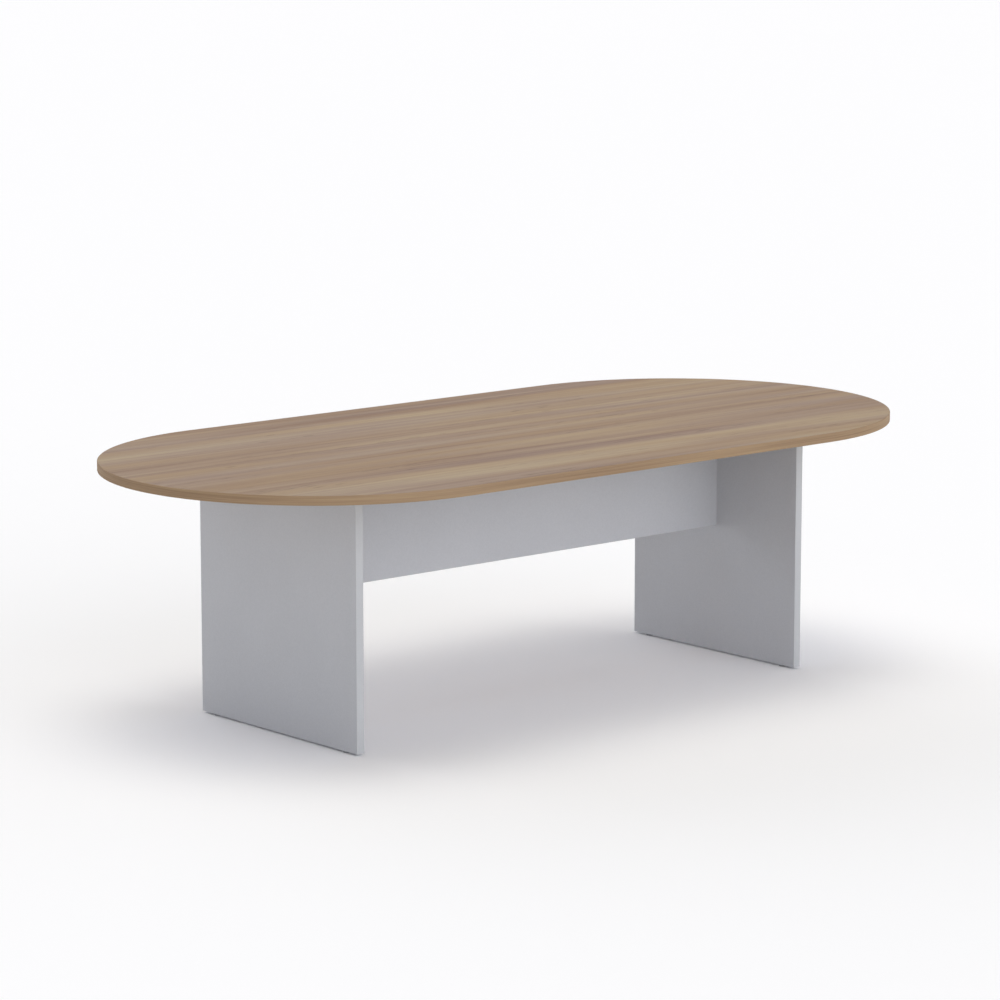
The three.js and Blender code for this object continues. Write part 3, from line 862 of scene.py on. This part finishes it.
def modelFootPad():
    look = foot
    outer, socket = look["padRadius"], look["socketRadius"]
    top, inner = look["padHeight"], look["socketFloor"]
    outline = [(0, 0), (outer, 0), (outer, top), (socket, top), (socket, inner), (0, inner)]
    pad = turned(outline, look["facets"])
    roundRims(pad, [(outer, 0), (outer, top)], look["padRounding"], look["padSteps"])
    roundRims(pad, [(socket, top)], look["socketRounding"], look["smallSteps"])
    keepOwnPlace(pad)
    return pad


def modelFootStud():
    look = foot
    low, high = look["hexLow"], look["hexHigh"]
    head = rod(look["hexRadius"] * mm, Vector((0, 0, low * mm)), Vector((0, 0, high * mm)), 6)
    for height in (low * mm, high * mm):
        openMesh(head)
        pick(head, "EDGE", lambda co: near(co.z, height))
        bpy.ops.mesh.bevel(offset=look["hexRounding"] * mm, segments=look["smallSteps"])
        closeMesh()
    inHead = (low + high) / 2
    radius, bottom = look["spigotRadius"], look["spigotFloor"]
    spigot = turned([(0, bottom), (radius, bottom), (radius, inHead), (0, inHead)], look["facets"])
    roundRims(spigot, [(radius, bottom)], look["spigotRounding"], look["smallSteps"])
    crest, top, chamfer = look["crestRadius"], look["studTop"], look["studChamfer"]
    thread = threaded(look["coreRadius"], crest, look["threadPitch"], inHead, top, look["facets"] // 2)
    outside = crest + look["crestClear"]
    outline = [(0, low), (outside, low), (outside, top - chamfer), (outside - chamfer, top), (0, top)]
    envelope = turned(outline, look["facets"])
    combine(thread, "INTERSECT", [envelope])
    combine(head, "UNION", [spigot, thread])
    keepOwnPlace(head)
    return head


def modelFootSleeve():
    look = foot
    bore, outer, barb = look["boreRadius"], look["sleeveRadius"], look["barb"]
    flange, low, high, top = look["flangeRadius"], look["flangeLow"], look["flangeHigh"], look["sleeveTop"]
    pitch = (top - high) / (look["barbs"] + 1)
    points = [(bore, low), (flange, low), (flange, high), (outer, high)]
    for count in range(1, look["barbs"] + 1):
        points.append((outer + barb, high + pitch * count))
        points.append((outer, high + pitch * (count + 0.5)))
    points += [(outer - barb, top), (bore, top), (bore, low)]
    sleeve = turned(points, look["facets"])
    roundRims(sleeve, [(flange, low)], look["flangeRounding"], look["flangeSteps"])
    keepOwnPlace(sleeve)
    return sleeve


def placeFeet(nylon, steel):
    masters = {"_pad": (modelFootPad(), nylon), "_stud": (modelFootStud(), steel),
               "_sleeve": (modelFootSleeve(), nylon)}
    for name in feet:
        place = Matrix.Translation(middle(name + "_sleeve") * Vector((1, 1, 0)))
        for ending, (master, material) in masters.items():
            standFor(copyPiece(master, place), name + ending, material)
    for master, _ in masters.values():
        bpy.data.objects.remove(master)


# Camera, floor and light

camera = {"place": (-7.0727, -8.1606, 2.4538), "yaw": 40.788, "pitch": 10.0575, "lens": 142.47,
          "sensor": 36, "reach": 400}  # place and reach in metres


def addCamera():
    turn = (math.radians(90 - camera["pitch"]), 0, math.radians(-camera["yaw"]))
    bpy.ops.object.camera_add(location=camera["place"], rotation=turn)
    eye = bpy.context.object
    eye.data.sensor_width = camera["sensor"]
    eye.data.lens = camera["lens"]
    eye.data.clip_end = camera["reach"]
    bpy.context.scene.camera = eye


studio = {
    "floorSize": 300, "floor": "#fcfcfd",  # metres
    "sideLight": "#f4f7ff", "topLight": "#fffbf2",
    "sideBoxes": [((1, 0, 0), 1.56), ((-1, 0, 0), 0.59),
                  ((0, 1, 0), 3.68), ((0, -1, 0), 3.54)],  # direction, strength
    "topBox": 3.39, "sideNarrowness": 4, "topNarrowness": 12,
}


def addStudio():
    onlyThis(None)
    bpy.ops.mesh.primitive_plane_add(size=studio["floorSize"])
    floor = bpy.context.object
    floor.name = "floor"
    paper, _, _ = newMaterial("paleFloor", {"Base Color": linear(studio["floor"]), "Roughness": 1,
                                            "Specular IOR Level": 0})
    floor.data.materials.append(paper)
    world = bpy.data.worlds.new("studio")
    bpy.context.scene.world = world
    world.use_nodes = True
    tree = world.node_tree
    direction = addNode(tree, "TexCoord", {}).outputs["Generated"]
    boxes = [(towards, strength, studio["sideNarrowness"], studio["sideLight"])
             for towards, strength in studio["sideBoxes"]]
    boxes.append(((0, 0, 1), studio["topBox"], studio["topNarrowness"], studio["topLight"]))
    light = None
    for towards, strength, narrowness, code in boxes:  # soft boxes that fade into each other
        angle = addNode(tree, "VectorMath", {"operation": "DOT_PRODUCT", 1: towards}, {0: direction})
        facing = addNode(tree, "Math", {"operation": "MAXIMUM", 1: 0}, {0: angle.outputs["Value"]})
        box = addNode(tree, "Math", {"operation": "POWER", 1: narrowness}, {0: facing})
        colour = Vector(linear(code)[:3]) * strength
        light = addNode(tree, "VectorMath", {"operation": "MULTIPLY_ADD", 1: colour},
                        {0: box, **({2: light} if light else {})})
    rays = addNode(tree, "LightPath", {}).outputs
    seen = rays["Is Camera Ray"]  # what the eye, a gloss or glass sees is plain white
    for ray in ("Is Glossy Ray", "Is Transmission Ray"):
        seen = addNode(tree, "Math", {"operation": "MAXIMUM"}, {0: seen, 1: rays[ray]})
    backdrop = addNode(tree, "Mix", {"data_type": "RGBA", mixB: (1, 1, 1, 1)}, {"Factor": seen, mixA: light})
    tree.links.new(backdrop.outputs[mixed], tree.nodes["Background"].inputs["Color"])


addCamera()
addStudio()
bpy.context.scene.view_settings.view_transform = "Standard"
print("camera and studio ready")

core, steel = chipboard(), zincPlatedSteel()
silverBoard, silverBand = silverMelamine(), silverStrip()
buildTopBoard(woodGrainMelamine(), core)
buildTopBand(woodToneStrip())
print("table top ready")
buildLegs(silverBoard, core, silverBand)
buildModestyPanel(silverBoard, core, silverBand)
print("legs and modesty panel ready")
placeFixings(dieCastZinc(), steel, beechWood())
placeFeet(greyNylon(), steel)
print("fixings and feet ready")
